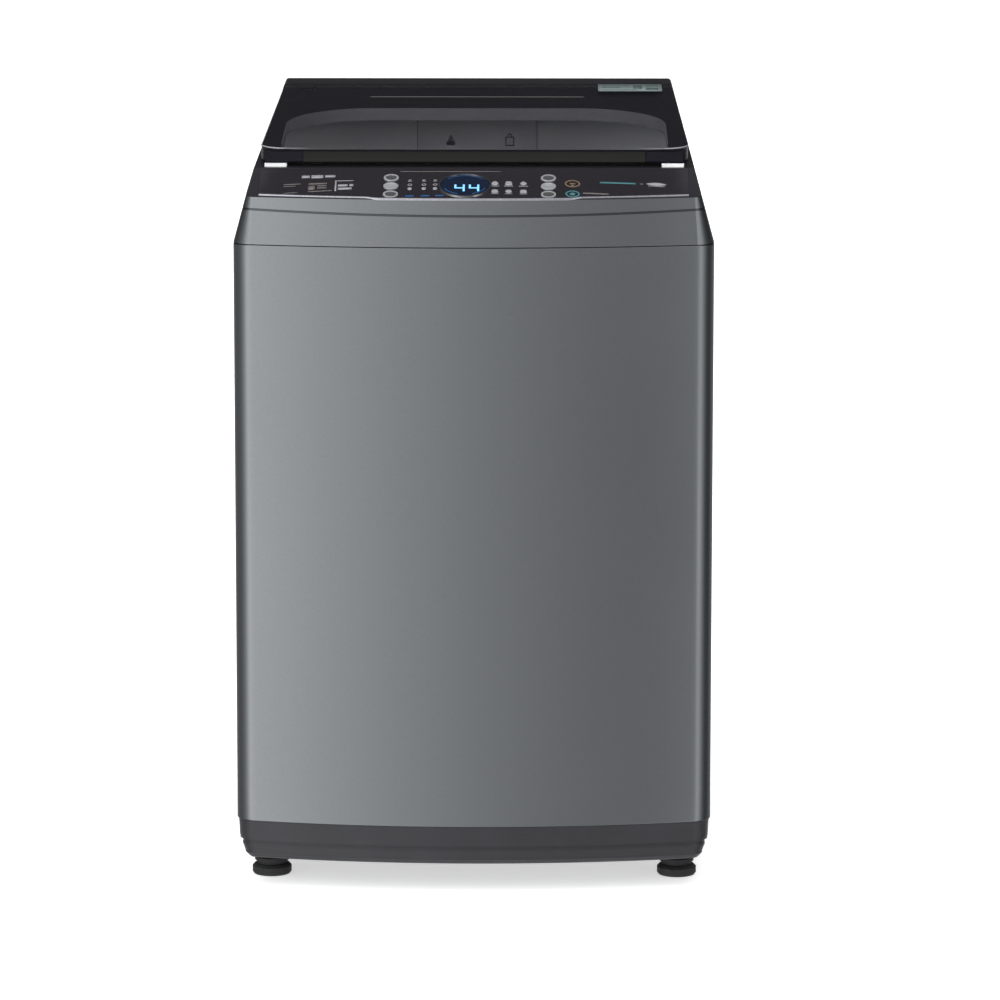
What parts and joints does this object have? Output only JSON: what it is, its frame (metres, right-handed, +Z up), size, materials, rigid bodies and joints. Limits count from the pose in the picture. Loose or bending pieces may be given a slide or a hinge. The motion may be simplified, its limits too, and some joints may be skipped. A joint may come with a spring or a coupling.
{
  "type": "top load washing machine",
  "caption": "Top load washing machine with glass lid, sloped control panel, dispenser drawer, sprung tub, spinning basket, pulsator and belt drive.",
  "frame": {"origin": "on the floor, under the middle of the whole machine's box", "axes": "+Z up, +Y to the back with the hose fittings, +X to the right as seen from the front"},
  "size_m": [0.6, 0.64, 0.9739],
  "materials": {
    "cabinet_paint": "metallic grey enamel, satin gloss",
    "rear_sheet": "galvanised sheet, dull",
    "zinc_screw": "zinc plated",
    "base_plastic": "dark grey moulded plastic",
    "guard_plastic": "black moulded plastic",
    "foot_rubber": "black rubber",
    "cover_plastic": "metallic grey moulded plastic",
    "fascia_black": "gloss black",
    "display_lens": "dark tinted lens",
    "dial_chrome": "bright chrome",
    "trim_chrome": "satin chrome",
    "board_green": "circuit board",
    "bumper_white": "pale soft plastic",
    "dispenser_white": "light grey moulded plastic",
    "drawer_grey": "grey moulded plastic",
    "drawer_front_grey": "grey gloss plastic",
    "siphon_blue": "blue plastic",
    "valve_white": "white moulded plastic",
    "hose_black": "black rubber",
    "lid_black": "black moulded plastic",
    "lid_glass": "tinted toughened glass",
    "handle_dark": "dark gloss plastic",
    "pin_steel": "bright steel",
    "bracket_steel": "galvanised",
    "rod_steel": "zinc plated",
    "nylon_white": "natural nylon",
    "nylon_seat": "natural nylon",
    "spring_steel": "oiled spring steel",
    "nylon_cup": "natural nylon",
    "tub_white": "white polypropylene",
    "tub_cover_grey": "grey polypropylene",
    "bearing_steel": "ground steel",
    "plate_steel": "black coated steel",
    "gearbox_alloy": "cast",
    "motor_enamel": "grey enamel",
    "belt_rubber": "black rubber",
    "valve_grey": "grey moulded plastic",
    "drain_hose_grey": "grey soft plastic",
    "outlet_grey": "grey moulded plastic",
    "gland_black": "black rubber",
    "pulley_alloy": "turned",
    "motor_pulley_steel": "turned",
    "drum_steel": "polished stainless",
    "basket_base_white": "white polypropylene",
    "ring_grey": "grey gloss plastic",
    "hub_alloy": "cast",
    "filter_grey": "light grey plastic",
    "pulsator_grey": "grey gloss plastic",
    "shaft_steel": "ground steel",
    "cap_chrome": "bright plastic",
    "button_metal": "satin chrome"
  },
  "bodies": {
    "cabinet": {"cabinet_wrap": "cabinet_paint", "rear_panel": "rear_sheet", "rear_panel_screws": "zinc_screw", "base_frame": "base_plastic", "base_guard": "guard_plastic", "rear_feet": "foot_rubber", "top_cover": "cover_plastic", "control_fascia": "fascia_black", "display_window": "display_lens", "dial_ring": "dial_chrome", "trim_strip": "trim_chrome", "control_board": "board_green", "lid_bumpers": "bumper_white", "dispenser_housing": "dispenser_white", "inlet_valve": "valve_white", "inlet_hose": "hose_black", "corner_brackets": "bracket_steel", "suspension_rods": "rod_steel", "rod_ball_seats": "nylon_white", "spring_seats": "nylon_seat", "drain_outlet": "outlet_grey", "cord_gland": "gland_black"},
    "lid": {"lid_frame": "lid_black", "lid_glass": "lid_glass", "lid_handle": "handle_dark", "hinge_pins": "pin_steel"},
    "drawer": {"dispenser_drawer": "drawer_grey", "drawer_front": "drawer_front_grey", "siphon_cap": "siphon_blue"},
    "left_foot": {"left_foot_pad": "foot_rubber", "left_foot_stud": "zinc_screw"},
    "right_foot": {"right_foot_pad": "foot_rubber", "right_foot_stud": "zinc_screw"},
    "tub": {"outer_tub": "tub_white", "tub_cover": "tub_cover_grey", "tub_bearing": "bearing_steel", "mounting_plate": "plate_steel", "gearbox": "gearbox_alloy", "motor_body": "motor_enamel", "drive_belt": "belt_rubber", "drain_valve": "valve_grey", "drain_hose": "drain_hose_grey", "suspension_springs": "spring_steel", "damper_cups": "nylon_cup"},
    "basket": {"basket_drum": "drum_steel", "basket_base": "basket_base_white", "balance_ring": "ring_grey", "basket_hub": "hub_alloy", "lint_filters": "filter_grey"},
    "pulsator": {"pulsator": "pulsator_grey", "pulsator_shaft": "shaft_steel", "pulsator_cap": "cap_chrome"},
    "drive_pulley": {"drive_pulley": "pulley_alloy"},
    "motor_rotor": {"motor_pulley": "motor_pulley_steel"},
    "key_1": {"button_1": "button_metal"},
    "key_2": {"button_2": "button_metal"},
    "key_3": {"button_3": "button_metal"},
    "key_4": {"button_4": "button_metal"},
    "key_5": {"button_5": "button_metal"},
    "key_6": {"button_6": "button_metal"}
  },
  "joints": [
    {"name": "lid_hinge", "type": "hinge", "parent": "cabinet", "child": "lid", "pos_m": [0, 0.242, 0.95997], "axis": [-1, 0, 0], "range_deg": [0, 95]},
    {"name": "drawer_slide", "type": "slide", "parent": "cabinet", "child": "drawer", "axis": [0, -1, 0], "range_m": [0, 0.09]},
    {"name": "left_foot_screw", "type": "slide", "parent": "cabinet", "child": "left_foot", "axis": [0, 0, -1], "range_m": [0, 0.012]},
    {"name": "right_foot_screw", "type": "slide", "parent": "cabinet", "child": "right_foot", "axis": [0, 0, -1], "range_m": [0, 0.012]},
    {"name": "tub_suspension", "type": "slide", "parent": "cabinet", "child": "tub", "axis": [0, 0, 1], "range_m": [-0.02, 0.008], "stiffness_N_per_m": 16000, "springref_m": 0.01839, "deforming": ["suspension_springs"]},
    {"name": "basket_spin", "type": "hinge", "parent": "tub", "child": "basket", "pos_m": [0, -0.01, 0.3], "axis": [0, 0, 1], "continuous": true},
    {"name": "pulsator_spin", "type": "hinge", "parent": "basket", "child": "pulsator", "pos_m": [0, -0.01, 0.28], "axis": [0, 0, 1], "continuous": true},
    {"name": "drive_pulley_spin", "type": "hinge", "parent": "tub", "child": "drive_pulley", "pos_m": [0, -0.01, 0.115], "axis": [0, 0, 1], "continuous": true},
    {"name": "motor_spin", "type": "hinge", "parent": "tub", "child": "motor_rotor", "pos_m": [0, 0.148, 0.115], "axis": [0, 0, 1], "continuous": true},
    {"name": "key_1_press", "type": "slide", "parent": "cabinet", "child": "key_1", "axis": [0, 0.3424, -0.9396], "range_m": [0, 0.0012], "stiffness_N_per_m": 600, "springref_m": -0.001},
    {"name": "key_2_press", "type": "slide", "parent": "cabinet", "child": "key_2", "axis": [0, 0.3424, -0.9396], "range_m": [0, 0.0012], "stiffness_N_per_m": 600, "springref_m": -0.001},
    {"name": "key_3_press", "type": "slide", "parent": "cabinet", "child": "key_3", "axis": [0, 0.3424, -0.9396], "range_m": [0, 0.0012], "stiffness_N_per_m": 600, "springref_m": -0.001},
    {"name": "key_4_press", "type": "slide", "parent": "cabinet", "child": "key_4", "axis": [0, 0.3395, -0.9406], "range_m": [0, 0.0012], "stiffness_N_per_m": 600, "springref_m": -0.001},
    {"name": "key_5_press", "type": "slide", "parent": "cabinet", "child": "key_5", "axis": [0, 0.3395, -0.9406], "range_m": [0, 0.0012], "stiffness_N_per_m": 600, "springref_m": -0.001},
    {"name": "key_6_press", "type": "slide", "parent": "cabinet", "child": "key_6", "axis": [0, 0.3395, -0.9406], "range_m": [0, 0.0012], "stiffness_N_per_m": 600, "springref_m": -0.001}
  ],
  "couplings": [
    {"joint": "drive_pulley_spin", "follows": "pulsator_spin", "ratio": 4},
    {"joint": "motor_spin", "follows": "pulsator_spin", "ratio": 15.08}
  ]
}
